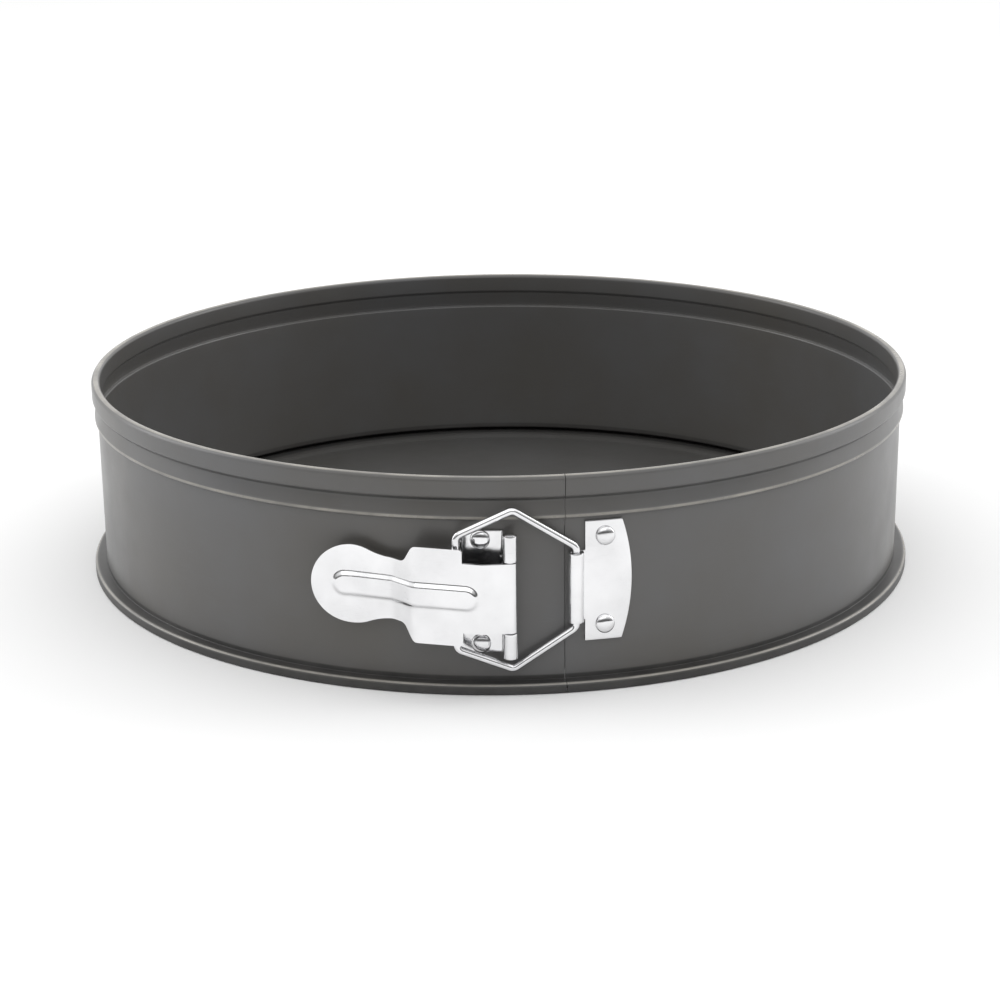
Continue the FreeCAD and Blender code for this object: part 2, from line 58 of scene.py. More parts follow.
# ---------------------------------------------------------------- sizes, in millimetres
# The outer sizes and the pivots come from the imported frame.
left_low, left_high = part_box("band_left")
base_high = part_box("base_disc")[1]
joints = {joint["name"]: joint for joint in frame["record"]["behaviour"]["joints"]}
PAN_HEIGHT = left_high[2] / MM
FLOOR_GAP = left_low[2] / MM
LIP_REACH = 4.1
WALL = left_high[1] / MM - LIP_REACH
METAL = 0.6
LIP_TOP = 3.3
RIM_DEPTH = 7.0
RIM_OUT = 1.6
RIM_IN = 1.4
BEAD_LOW = 54.5
BEAD_HIGH = 60.0
BEAD_OUT = 1.1
SEAM_TURN = 7.8
SEAM_GAP = 0.08
TONGUE_TURN = 10.7
TONGUE_LOW, TONGUE_HIGH = 6.0, 52.0
BASE_RADIUS = base_high[0] / MM
BASE_METAL = 0.8
FOOT_RADIUS = 131.0
RAMP = 2.5
RIM_LIFT = 0.7

HINGE = Vector(joints["lever_hinge"]["pos_m"]) / MM
KEEPER_PIVOT = Vector(joints["bail_swing"]["pos_m"]) / MM
HINGE_MID = HINGE.z
BAIL_MID = KEEPER_PIVOT.z
PLATE = 0.9
PIN_RADIUS = 1.1
PIN_HEAD = 0.4
KNUCKLE = 2.1
BRACKET_HALF = 19.3
BRACKET_START, BRACKET_END = -4.9, 0.4
BRACKET_BEND = 1.4
MIDDLE_HALF = 10.9
SIDE_GAP = 0.3
LEVER_METAL = 0.95
LEVER_SLOPE = math.radians(8.0)
LEVER_TILT = math.radians(2.5)
TILT_START = 3.0
ROLL = 2.4
ROLL_HALF = 11.0
KEEPER_MID, KEEPER_HALF = 34.4, 19.0
KEEPER_START, KEEPER_END = 10.3, 16.2
KEEPER_BULGE = 60.0
KEEPER_METAL = 0.88
RIVET_SLACK = 0.04
WIRE = 1.2
BAIL_CRANK, BAIL_DROP = 16.0, 3.0
BAIL_END_HALF, BAIL_CORNER_HALF = 9.5, 17.8
BAIL_PEAK_PLACE, BAIL_PEAK_HALF = 19.0, 25.0
BAIL_SIDE_HALF = 12.8
BAIL_BEND = 2.4
HOOK_GAP, HOOK_DROP, HOOK_LIP = 0.3, 0.9, 3.0
HOOK_LEVEL, HOOK_RISE, HOOK_HALF = 13.4, 0.7, 1.0
SHANK, RIVET_HEAD, RIVET_TAIL = 1.5, 3.0, 2.6
DOME_RISE = 1.35
SHARP_EDGE = 38.0


# ---------------------------------------------------------------- outline helpers, in millimetres
def soften(corners, closed=False, step=0.2):
    """Points along straight runs whose corners (x, y, radius) are rounded."""
    points = []
    count = len(corners)
    for i, corner in enumerate(corners):
        here = Vector(corner[:2])
        radius = corner[2] if len(corner) > 2 else 0.0
        inside = closed or 0 < i < count - 1
        if not radius or not inside:
            points.append(here)
            continue
        back = (Vector(corners[i - 1][:2]) - here).normalized()
        ahead = (Vector(corners[(i + 1) % count][:2]) - here).normalized()
        half = back.angle(ahead) / 2
        trim = radius / math.tan(half)
        middle = (back + ahead).normalized()
        centre = here + middle * (radius / math.sin(half))
        start = here + back * trim - centre
        sweep = math.pi - 2 * half
        turn = 1 if start.cross(-back) > 0 else -1
        steps = max(2, math.ceil(sweep / step))
        for k in range(steps + 1):
            angle = turn * sweep * k / steps
            spun = Vector((start.x * math.cos(angle) - start.y * math.sin(angle),
                           start.x * math.sin(angle) + start.y * math.cos(angle)))
            points.append(centre + spun)
    return points


def divide(points, longest):
    """The same path with no piece longer than this."""
    result = [points[0]]
    for a, b in zip(points, points[1:]):
        pieces = max(1, math.ceil((b - a).length / longest))
        for k in range(1, pieces + 1):
            result.append(a.lerp(b, k / pieces))
    return result


def side_normals(points):
    """The unit normal to the left of a path at each of its points."""
    normals = []
    for i in range(len(points)):
        before = points[max(i - 1, 0)]
        after = points[min(i + 1, len(points) - 1)]
        along = after - before
        normals.append(Vector((-along.y, along.x)).normalized())
    return normals


def smooth(t):
    """An even ease from 0 to 1."""
    t = min(max(t, 0.0), 1.0)
    return t * t * (3 - 2 * t)


def at_turn(turn, reach, rise):
    """A point in metres at a turn from the front (degrees) and a reach from the pan's axis."""
    angle = math.radians(turn)
    return Vector((reach * math.sin(angle), -reach * math.cos(angle), rise)) * MM


# ---------------------------------------------------------------- mesh helpers
def finish_mesh(name, build):
    """A mesh object at the origin, shaded smooth with its hard edges kept."""
    build.normal_update()
    mesh = bpy.data.meshes.new(name)
    build.to_mesh(mesh)
    build.free()
    piece = bpy.data.objects.new(name, mesh)
    bpy.context.scene.collection.objects.link(piece)
    shade(piece)
    return piece


def shade(piece):
    mesh = piece.data
    mesh.shade_smooth()
    mesh.set_sharp_from_angle(angle=math.radians(SHARP_EDGE))


def bake_modifiers(piece):
    """Turns the evaluated object into a plain mesh and drops its modifiers."""
    graph = bpy.context.evaluated_depsgraph_get()
    mesh = bpy.data.meshes.new_from_object(piece.evaluated_get(graph))
    old = piece.data
    piece.modifiers.clear()
    piece.data = mesh
    mesh.name = piece.name
    if old.users == 0:
        bpy.data.meshes.remove(old)
    shade(piece)


def strip_section(path, thick):
    """Both faces of a strip of sheet whose middle follows path: pairs of outer and inner points."""
    normals = side_normals(path)
    half = thick / 2
    return [(p + n * half, p - n * half) for p, n in zip(path, normals)]


def turned_strip(build, pairs, start, end, step=0.75):
    """The strip turned about the pan's axis between two turns, closed at its ends."""
    count = max(2, math.ceil(abs(end - start) / step))
    rings = []
    for k in range(count + 1):
        turn = start + (end - start) * k / count
        outer = [build.verts.new(at_turn(turn, a.x, a.y)) for a, b in pairs]
        inner = [build.verts.new(at_turn(turn, b.x, b.y)) for a, b in pairs]
        rings.append((outer, inner))
    for (o1, i1), (o2, i2) in zip(rings, rings[1:]):
        for j in range(len(pairs) - 1):
            build.faces.new((o1[j], o2[j], o2[j + 1], o1[j + 1]))
            build.faces.new((i1[j], i1[j + 1], i2[j + 1], i2[j]))
        build.faces.new((o1[0], i1[0], i2[0], o2[0]))
        build.faces.new((o1[-1], o2[-1], i2[-1], i1[-1]))
    for (outer, inner), flip in ((rings[0], False), (rings[-1], True)):
        for j in range(len(pairs) - 1):
            corners = [outer[j], outer[j + 1], inner[j + 1], inner[j]]
            build.faces.new(corners[::-1] if flip else corners)
    bmesh.ops.recalc_face_normals(build, faces=build.faces)


def lathe(build, profile, place, axis, segments=32):
    """A closed turned solid: profile is (radius, height) from pole to pole."""
    axis = axis.normalized()
    across = axis.orthogonal().normalized()
    other = axis.cross(across)
    rings = []
    for radius, height in profile:
        centre = place + axis * height
        if radius < 1e-6:
            rings.append([build.verts.new(centre)])
            continue
        ring = []
        for k in range(segments):
            angle = 2 * math.pi * k / segments
            ring.append(build.verts.new(
                centre + (across * math.cos(angle) + other * math.sin(angle)) * radius))
        rings.append(ring)
    for low, high in zip(rings, rings[1:]):
        for k in range(segments):
            n = (k + 1) % segments
            if len(low) == 1:
                build.faces.new((low[0], high[k], high[n]))
            elif len(high) == 1:
                build.faces.new((low[k], high[0], low[n]))
            else:
                build.faces.new((low[k], high[k], high[n], low[n]))
    bmesh.ops.recalc_face_normals(build, faces=build.faces)


def pressed_sheet(name, blocks, thick, offset, bevel=0.16):
    """Pressed sheet from blocks of rows of points.  None leaves a cell out, and blocks join where
    their rows meet.  It gets its thickness and rounded edges, is baked and loses its slivers."""
    build = bmesh.new()
    for grid in blocks:
        rows = [[build.verts.new(p) if p is not None else None for p in row] for row in grid]
        for near, far in zip(rows, rows[1:]):
            for j in range(len(near) - 1):
                corners = (near[j], near[j + 1], far[j + 1], far[j])
                if all(c is not None for c in corners):
                    build.faces.new(corners)
    loose = [v for v in build.verts if not v.link_faces]
    bmesh.ops.delete(build, geom=loose, context="VERTS")
    bmesh.ops.remove_doubles(build, verts=build.verts, dist=1e-6)
    piece = finish_mesh(name, build)
    wall = piece.modifiers.new("thickness", "SOLIDIFY")
    wall.thickness = thick * MM
    wall.offset = offset
    wall.use_even_offset = True
    edge = piece.modifiers.new("edges", "BEVEL")
    edge.width = bevel * MM
    edge.segments = 2
    edge.limit_method = "ANGLE"
    edge.angle_limit = math.radians(50)
    bake_modifiers(piece)
    baked = bmesh.new()
    baked.from_mesh(piece.data)
    bmesh.ops.dissolve_degenerate(baked, edges=baked.edges, dist=1e-6)
    baked.to_mesh(piece.data)
    baked.free()
    shade(piece)
    return piece


# ---------------------------------------------------------------- materials
def group(name, inputs, outputs):
    """An empty shader group with named inputs and outputs."""
    tree = bpy.data.node_groups.new(name, "ShaderNodeTree")
    for label, kind, value in inputs:
        socket = tree.interface.new_socket(label, in_out="INPUT", socket_type=kind)
        if value is not None:
            socket.default_value = value
    for label, kind in outputs:
        tree.interface.new_socket(label, in_out="OUTPUT", socket_type=kind)
    return tree, tree.nodes.new("NodeGroupInput"), tree.nodes.new("NodeGroupOutput")


def noise(tree, scale, detail=2.0, rough=0.5, vector=None):
    """A noise texture whose scale is a number or a socket."""
    node = tree.nodes.new("ShaderNodeTexNoise")
    node.inputs["Detail"].default_value = detail
    node.inputs["Roughness"].default_value = rough
    if isinstance(scale, (int, float)):
        node.inputs["Scale"].default_value = scale
    else:
        tree.links.new(scale, node.inputs["Scale"])
    if vector is not None:
        tree.links.new(vector, node.inputs["Vector"])
    return node


def spread(tree, value, low, high, to_low=0.0, to_high=1.0):
    """The value carried from one range to another."""
    node = tree.nodes.new("ShaderNodeMapRange")
    node.inputs["From Min"].default_value = low
    node.inputs["From Max"].default_value = high
    node.inputs["To Min"].default_value = to_low
    node.inputs["To Max"].default_value = to_high
    tree.links.new(value, node.inputs["Value"])
    return node.outputs["Result"]


def math_node(tree, operation, first, second):
    """One step of arithmetic on numbers or sockets."""
    node = tree.nodes.new("ShaderNodeMath")
    node.operation = operation
    for socket, item in zip(node.inputs, (first, second)):
        if isinstance(item, (int, float)):
            socket.default_value = item
        else:
            tree.links.new(item, socket)
    return node.outputs["Value"]


def make_handling_marks():
    """Fine hair scratches and cloudy smudges, for any handled metal."""
    tree, inside, outside = group(
        "handling_marks",
        [("Vector", "NodeSocketVector", None),
         ("Scratch Size", "NodeSocketFloat", 220.0),
         ("Smudge Size", "NodeSocketFloat", 60.0),
         ("Amount", "NodeSocketFloat", 0.5)],
        [("Marks", "NodeSocketFloat"), ("Smudge", "NodeSocketFloat")])
    stretch = tree.nodes.new("ShaderNodeMapping")
    stretch.inputs["Scale"].default_value = (1.0, 1.0, 9.0)
    stretch.inputs["Rotation"].default_value = (0.5, 0.35, 0.2)
    tree.links.new(inside.outputs["Vector"], stretch.inputs["Vector"])
    hairs = noise(tree, inside.outputs["Scratch Size"], 3.0, 0.6, stretch.outputs["Vector"])
    lines = spread(tree, hairs.outputs["Fac"], 0.60, 0.72)
    smudge = noise(tree, inside.outputs["Smudge Size"], 4.0, 0.55, inside.outputs["Vector"])
    cloud = spread(tree, smudge.outputs["Fac"], 0.35, 0.7)
    marks = math_node(tree, "MULTIPLY", lines, cloud)
    scaled = math_node(tree, "MULTIPLY", marks, inside.outputs["Amount"])
    tree.links.new(scaled, outside.inputs["Marks"])
    tree.links.new(cloud, outside.inputs["Smudge"])
    return tree


def make_coat_grain():
    """The slight orange peel of a sprayed and baked coating, with a finer grit in it."""
    tree, inside, outside = group(
        "coat_grain",
        [("Vector", "NodeSocketVector", None),
         ("Peel Size", "NodeSocketFloat", 900.0),
         ("Grit Size", "NodeSocketFloat", 4200.0)],
        [("Height", "NodeSocketFloat"), ("Grit", "NodeSocketFloat")])
    peel = noise(tree, inside.outputs["Peel Size"], 1.0, 0.4, inside.outputs["Vector"])
    grit = noise(tree, inside.outputs["Grit Size"], 1.0, 0.5, inside.outputs["Vector"])
    fine = math_node(tree, "MULTIPLY", grit.outputs["Fac"], 0.35)
    height = math_node(tree, "ADD", peel.outputs["Fac"], fine)
    tree.links.new(height, outside.inputs["Height"])
    tree.links.new(grit.outputs["Fac"], outside.inputs["Grit"])
    return tree


def make_ring_mask():
    """A ring round the pan's axis: how near a point is to a height and a reach, broken up."""
    tree, inside, outside = group(
        "ring_mask",
        [("Vector", "NodeSocketVector", None),
         ("Height", "NodeSocketFloat", 0.0),
         ("Height Spread", "NodeSocketFloat", 0.001),
         ("Reach", "NodeSocketFloat", 0.14),
         ("Reach Spread", "NodeSocketFloat", 0.001),
         ("Break Size", "NodeSocketFloat", 60.0),
         ("Break Amount", "NodeSocketFloat", 0.5)],
        [("Mask", "NodeSocketFloat")])
    parts = tree.nodes.new("ShaderNodeSeparateXYZ")
    tree.links.new(inside.outputs["Vector"], parts.inputs[0])
    reach = math_node(tree, "SQRT", math_node(
        tree, "ADD", math_node(tree, "MULTIPLY", parts.outputs["X"], parts.outputs["X"]),
        math_node(tree, "MULTIPLY", parts.outputs["Y"], parts.outputs["Y"])), 0.0)

    def nearness(value, middle, width):
        away = math_node(tree, "ABSOLUTE", math_node(tree, "SUBTRACT", value, middle), 0.0)
        return spread(tree, math_node(tree, "DIVIDE", away, width), 0.6, 1.0, 1.0, 0.0)

    band = math_node(
        tree, "MULTIPLY",
        nearness(parts.outputs["Z"], inside.outputs["Height"], inside.outputs["Height Spread"]),
        nearness(reach, inside.outputs["Reach"], inside.outputs["Reach Spread"]))
    patch = noise(tree, inside.outputs["Break Size"], 3.0, 0.6, inside.outputs["Vector"])
    broken = spread(tree, patch.outputs["Fac"], 0.35, 0.65)
    loss = math_node(tree, "MULTIPLY", broken, inside.outputs["Break Amount"])
    kept = math_node(tree, "SUBTRACT", 1.0, loss)
    tree.links.new(math_node(tree, "MULTIPLY", band, kept), outside.inputs["Mask"])
    return tree


HANDLING_MARKS = make_handling_marks()
RING_MASK = make_ring_mask()
COAT_GRAIN = make_coat_grain()


def new_material(name):
    material = bpy.data.materials.new(name)
    material.use_nodes = True
    tree = material.node_tree
    shader = tree.nodes["Principled BSDF"]
    place = tree.nodes.new("ShaderNodeTexCoord")
    return material, tree, shader, place.outputs["Object"]


def use_group(tree, source, vector, **values):
    node = tree.nodes.new("ShaderNodeGroup")
    node.node_tree = source
    tree.links.new(vector, node.inputs["Vector"])
    for label, value in values.items():
        node.inputs[label.replace("_", " ")].default_value = value
    return node


def add_bump(tree, shader, height, distance, strength=1.0):
    bump = tree.nodes.new("ShaderNodeBump")
    bump.inputs["Distance"].default_value = distance
    bump.inputs["Strength"].default_value = strength
    tree.links.new(height, bump.inputs["Height"])
    tree.links.new(bump.outputs["Normal"], shader.inputs["Normal"])


def colour_between(tree, factor, low, high):
    mix = tree.nodes.new("ShaderNodeMix")
    mix.data_type = "RGBA"
    mix.inputs["A"].default_value = (*low, 1.0)
    mix.inputs["B"].default_value = (*high, 1.0)
    tree.links.new(factor, mix.inputs["Factor"])
    return mix.outputs["Result"]


def non_stick(name, dark, light, rough_low, rough_high, painted_highlights=(), painted_shades=()):
    """Satin grey coating: cloudy in colour and gloss, with a fine peel and a few rub marks.
    Each ring is (height, spread, reach, spread, in millimetres); the first set are painted
    highlights, lighter than the rest where edges catch the light, and the second set are painted
    shade, darker than the rest in grooves and under ledges."""
    material, tree, shader, place = new_material(name)
    shader.inputs["Specular IOR Level"].default_value = 0.5
    shader.inputs["IOR"].default_value = 1.5
    cloud = noise(tree, 14.0, 4.0, 0.6, place)
    tint = spread(tree, cloud.outputs["Fac"], 0.3, 0.7)
    grain = use_group(tree, COAT_GRAIN, place, Peel_Size=700.0, Grit_Size=3800.0)
    speck = spread(tree, grain.outputs["Grit"], 0.62, 0.8, 0.0, 0.3)
    marks = use_group(tree, HANDLING_MARKS, place,
                      Scratch_Size=140.0, Smudge_Size=35.0, Amount=0.4)
    blend = math_node(tree, "ADD", tint, speck)
    worn = math_node(tree, "ADD", blend, marks.outputs["Marks"])
    colour = colour_between(tree, worn, dark, light)
    rough = spread(tree, marks.outputs["Smudge"], 0.0, 1.0, rough_low, rough_high)
    # The painted highlight lines and the painted shade rings are laid over the coating's colour
    # here, each with a small change of roughness.
    for rings, tone, amount, gloss in ((painted_highlights, PAINTED_HIGHLIGHT_TONE, 0.55, -0.06),
                                       (painted_shades, PAINTED_SHADE_TONE, 0.25, 0.12)):
        for height, tall, reach, wide in rings:
            ring = use_group(tree, RING_MASK, place, Height=height * MM, Height_Spread=tall * MM,
                             Reach=reach * MM, Reach_Spread=wide * MM, Break_Size=70.0,
                             Break_Amount=amount)
            mix = tree.nodes.new("ShaderNodeMix")
            mix.data_type = "RGBA"
            mix.inputs["B"].default_value = (*tone, 1.0)
            tree.links.new(ring.outputs["Mask"], mix.inputs["Factor"])
            tree.links.new(colour, mix.inputs["A"])
            colour = mix.outputs["Result"]
            rough = math_node(tree, "ADD", rough, math_node(
                tree, "MULTIPLY", ring.outputs["Mask"], gloss))
    tree.links.new(colour, shader.inputs["Base Color"])
    tree.links.new(rough, shader.inputs["Roughness"])
    add_bump(tree, shader, grain.outputs["Height"], 0.00003, 0.35)
    return material


def plated(name, rough_low, rough_high, tone):
    """Bright plate on pressed steel: faint rub marks, cloudy gloss and the sheet's waviness."""
    material, tree, shader, place = new_material(name)
    shader.inputs["Metallic"].default_value = 1.0
    marks = use_group(tree, HANDLING_MARKS, place,
                      Scratch_Size=420.0, Smudge_Size=70.0, Amount=0.8)
    dull = tuple(c * 0.80 for c in tone)
    haze = spread(tree, marks.outputs["Smudge"], 0.0, 1.0, 0.0, 0.55)
    dimmed = math_node(tree, "ADD", haze, marks.outputs["Marks"])
    tree.links.new(colour_between(tree, dimmed, tone, dull), shader.inputs["Base Color"])
    cloud = spread(tree, marks.outputs["Smudge"], 0.0, 1.0, rough_low, rough_high)
    rough = math_node(tree, "ADD", cloud, math_node(tree, "MULTIPLY", marks.outputs["Marks"], 0.15))
    tree.links.new(rough, shader.inputs["Roughness"])
    wave = noise(tree, 160.0, 2.0, 0.5, place)
    height = math_node(tree, "ADD", wave.outputs["Fac"],
                       math_node(tree, "MULTIPLY", marks.outputs["Marks"], -0.05))
    add_bump(tree, shader, height, 0.00012, 0.5)
    return material


# Colour of the painted highlight lines.
PAINTED_HIGHLIGHT_TONE = (0.30, 0.285, 0.255)
# Colour of the painted shade rings.
PAINTED_SHADE_TONE = (0.030, 0.029, 0.028)
BAND_COAT = non_stick(
    "band_non_stick", (0.096, 0.091, 0.083), (0.110, 0.110, 0.111), 0.28, 0.38,
    # Painted highlights: lighter lines on the lip's top edge, the bead's upper slope and the rim
    # top, where light from above catches them.
    painted_highlights=(
        (LIP_TOP - 0.15, 0.35, WALL + LIP_REACH - 0.3, 0.6),
        (BEAD_LOW + 0.75, 0.55, WALL + BEAD_OUT, 0.5),
        (PAN_HEIGHT, 0.3, WALL, 2.5),
    ),
    # Painted shade: darker rings in the groove over the lip, under the rolled rim and along the
    # foot by the floor.
    painted_shades=(
        (LIP_TOP + 0.4, 1.3, WALL + 1.2, 2.4),
        (PAN_HEIGHT - RIM_DEPTH - 0.1, 0.7, WALL + 0.6, 1.4),
        (1.2, 1.8, WALL + 2.0, 3.6),
    ))
BASE_COAT = non_stick(
    "base_non_stick", (0.064, 0.062, 0.058), (0.082, 0.081, 0.080), 0.32, 0.42,
    # Painted shade: a darker ring on the base's edge, under the band's lip.
    painted_shades=((1.0, 1.2, WALL, 4.0),))
BRIGHT_TONE = (0.84, 0.84, 0.85)
LATCH_PLATE = plated("latch_bright_plate", 0.09, 0.20, BRIGHT_TONE)
WIRE_PLATE = plated("wire_bright_plate", 0.08, 0.16, BRIGHT_TONE)


def paint(piece, material):
    piece.data.materials.clear()
    piece.data.materials.append(material)


# ---------------------------------------------------------------- the band
def band_path():
    """The middle of the sheet from the skirt of the lip up the wall and over the rolled rim."""
    half = METAL / 2
    wall = WALL - half
    roll = (RIM_IN + RIM_OUT - METAL) / 2
    roll_middle = WALL + (RIM_OUT - RIM_IN) / 2
    crown = PAN_HEIGHT - half - roll
    foot = PAN_HEIGHT - RIM_DEPTH
    lower = soften([
        (WALL + LIP_REACH - half, FLOOR_GAP),
        (WALL + LIP_REACH - half, LIP_TOP - half, 0.55),
        (wall, LIP_TOP - half, 0.5),
        (wall, BEAD_LOW, 0.35),
        (wall + BEAD_OUT, BEAD_LOW + 0.35, 0.4),
        (wall + BEAD_OUT * 0.92, BEAD_LOW + 1.6, 3.0),
        (wall, BEAD_HIGH, 4.0),
        (wall, foot - METAL * 0.6, 0.7),
        (WALL - RIM_IN + half, foot + METAL * 0.9, 0.7),
        (WALL - RIM_IN + half, crown),
    ])
    over = [Vector((roll_middle - roll * math.cos(t), crown + roll * math.sin(t)))
            for t in (math.pi * k / 16 for k in range(1, 16))]
    outer = soften([
        (WALL + RIM_OUT - half, crown),
        (WALL + RIM_OUT - half, foot + 1.1, 0.9),
        (WALL + METAL * 0.6, foot - METAL * 0.1),
    ])
    return divide(lower + over + outer, 4.0)


def make_band():
    pairs = strip_section(band_path(), METAL)
    left = bmesh.new()
    turned_strip(left, pairs, -180.0, SEAM_TURN)
    reach = WALL - METAL * 1.5 - 0.3
    tongue = [Vector((reach, z)) for z in (TONGUE_LOW, TONGUE_HIGH)]
    turned_strip(left, strip_section(divide(tongue, 4.0), METAL), SEAM_TURN - 4.0, TONGUE_TURN)
    left_piece = finish_mesh("band_left_skin", left)
    right = bmesh.new()
    turned_strip(right, pairs, SEAM_TURN + SEAM_GAP, 180.0)
    right_piece = finish_mesh("band_right_skin", right)
    for piece in (left_piece, right_piece):
        paint(piece, BAND_COAT)
    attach(left_piece, "ring_left")
    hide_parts("band_left")
    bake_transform(right_piece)
    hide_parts("band_right")


# ---------------------------------------------------------------- the base
def make_base():
    half = BASE_METAL / 2
    path = soften([
        (0.0, half),
        (FOOT_RADIUS, half, 3.0),
        (FOOT_RADIUS + RAMP, RIM_LIFT + half, 3.0),
        (BASE_RADIUS - half, RIM_LIFT + half),
    ])
    pairs = strip_section(divide(path, 6.0), BASE_METAL)
    top = [(max(a.x, 0.0), a.y) for a, b in pairs]
    under = [(max(b.x, 0.0), b.y) for a, b in pairs]
    edge = [(BASE_RADIUS - half + half * math.sin(t), RIM_LIFT + half + half * math.cos(t))
            for t in (math.pi * k / 6 for k in range(1, 6))]
    profile = [(r * MM, z * MM) for r, z in under + edge[::-1] + top[::-1]]
    build = bmesh.new()
    lathe(build, profile, Vector((0, 0, 0)), Vector((0, 0, 1)), 360)
    piece = finish_mesh("base_skin", build)
    paint(piece, BASE_COAT)
    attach(piece, "base")
    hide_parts("base_disc")


# ---------------------------------------------------------------- the lever
LEVER_LENGTH = 60.2
WING_START, WING_END, WING_HALF = 13.7, 28.6, 15.1
SLIT_END, SLIT_WIDTH = 16.2, 0.9
NECK_PLACE, NECK_HALF, NECK_CURVE = 34.5, 9.6, 20.6
THUMB = 12.4
THUMB_PLACE = LEVER_LENGTH - THUMB
THUMB_BACK = 4.0
RIB_START, RIB_END, RIB_HALF, RIB_RISE = 8.4, 54.3, 4.2, 0.9
LEVER_LIFT = 4.4
THUMB_DROP = 1.3


def lever_half(run):
    """Half the lever's width at a distance from its hinge, from the wings to the thumb."""
    if run < WING_START + 1.0:
        return WING_HALF - 1.0 + math.sqrt(max(0.0, 1.0 - (WING_START + 1.0 - run) ** 2))
    if run < NECK_PLACE:
        flank = soften([
            (WING_START, WING_HALF),
            (WING_END, WING_HALF, 2.0),
            (WING_END + 3.0, NECK_HALF, 2.2),
            (NECK_PLACE + 0.1, NECK_HALF),
        ], step=0.05)
        for a, b in zip(flank, flank[1:]):
            if a.x <= run <= b.x:
                return a.y + (b.y - a.y) * (run - a.x) / max(b.x - a.x, 1e-9)
    join = THUMB_PLACE - (THUMB_PLACE - NECK_PLACE) * THUMB / (THUMB + NECK_CURVE)
    if run < join:
        return NECK_HALF + NECK_CURVE - math.sqrt(NECK_CURVE ** 2 - (run - NECK_PLACE) ** 2)
    return math.sqrt(max(0.0, THUMB ** 2 - (run - THUMB_PLACE) ** 2))


def lever_side():
    """The outer face seen from above: the roll round the pin, then out along the lever."""
    roll = [Vector((-KNUCKLE * math.sin(a), KNUCKLE * math.cos(a)))
            for a in (math.radians(285.0 - 12.5 * k) for k in range(25))]
    run = soften([
        tuple(roll[-1]),
        (WING_START / 2 + 1.0, LEVER_LIFT, 6.0),
        (WING_END, LEVER_LIFT, 4.0),
        (NECK_PLACE + 1.0, 0.0, 4.0),
        (THUMB_PLACE, -THUMB_DROP, 16.0),
        (LEVER_LENGTH, -THUMB_DROP / 3),
    ], step=0.1)
    return roll, run


def height_at(run_path, distance):
    """The outer face's height and slope at a distance along the lever."""
    for a, b in zip(run_path, run_path[1:]):
        if distance <= b.x or b is run_path[-1]:
            t = (distance - a.x) / max(b.x - a.x, 1e-9)
            along = (b - a).normalized()
            return a.y + (b.y - a.y) * t, Vector((-along.y, along.x))
    return run_path[-1].y, Vector((0, 1))


def rib_rise(run, across):
    """The pressed rib: a raised lozenge with round ends along the middle."""
    nearest = min(max(run, RIB_START + RIB_HALF), RIB_END - RIB_HALF)
    distance = math.hypot(run - nearest, across)
    return RIB_RISE * smooth((RIB_HALF - distance) / 1.7)


def lever_point(run, height, across):
    """A point of the lever in metres, from its own run, height and width."""
    lifted = across + max(run - TILT_START, 0.0) * math.tan(LEVER_TILT)
    spin = Matrix.Rotation(-LEVER_SLOPE, 4, "Z")
    flat = spin @ Vector((-run, -height, 0))
    return Vector((HINGE.x + flat.x, HINGE.y + flat.y, HINGE_MID + lifted)) * MM


def make_lever():
    roll, run_path = lever_side()
    tongue_rows = [-MIDDLE_HALF + 2 * MIDDLE_HALF * k / 60 for k in range(61)]
    slit = MIDDLE_HALF + SLIT_WIDTH
    tab_rows = [slit + (WING_HALF - slit) * k / 8 for k in range(9)]
    rows = [-v for v in tab_rows[::-1]] + tongue_rows + tab_rows
    grid = []
    for point in roll:
        grid.append([lever_point(point.x, point.y, v) if abs(v) <= MIDDLE_HALF + 1e-6 else None
                     for v in rows])
    start = THUMB_PLACE - THUMB_BACK
    stations = [roll[-1].x + (WING_START - roll[-1].x) * k / 30 for k in range(1, 30)]
    stations += [WING_START + (SLIT_END - WING_START) * k / 10 for k in range(11)]
    stations += [SLIT_END + (start - SLIT_END) * k / 70 for k in range(1, 71)]
    for run in stations:
        line = []
        height, normal = height_at(run_path, run)
        for v in rows:
            tab = abs(v) > MIDDLE_HALF + 1e-6
            if tab and run < WING_START - 1e-6:
                line.append(None)
                continue
            across = v
            if run > SLIT_END:
                across = v * lever_half(run) / WING_HALF
            elif tab:
                share = (abs(v) - slit) / (WING_HALF - slit)
                across = math.copysign(slit + share * (lever_half(run) - slit), v)
            rise = rib_rise(run, across)
            line.append(lever_point(run + normal.x * rise, height + normal.y * rise, across))
        grid.append(line)
    wide = lever_half(start)
    open_angle = math.acos(-THUMB_BACK / THUMB)
    for k in range(1, 41):
        share = k / 40
        line = []
        for v in rows:
            w = v / WING_HALF
            angle = w * open_angle
            flat = Vector((start, w * wide))
            bow = Vector((THUMB_PLACE + THUMB * math.cos(angle), THUMB * math.sin(angle)))
            place = flat.lerp(bow, share)
            height, normal = height_at(run_path, place.x)
            rise = rib_rise(place.x, place.y)
            line.append(lever_point(
                place.x + normal.x * rise, height + normal.y * rise, place.y))
        grid.append(line)
    piece = pressed_sheet("latch_lever_skin", [grid], LEVER_METAL, -1.0)
    hooks = bmesh.new()
    hooks.from_mesh(piece.data)
    add_hooks(hooks)
    hooks.to_mesh(piece.data)
    hooks.free()
    shade(piece)
    paint(piece, LATCH_PLATE)
    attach(piece, "lever")
    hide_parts("latch_lever")


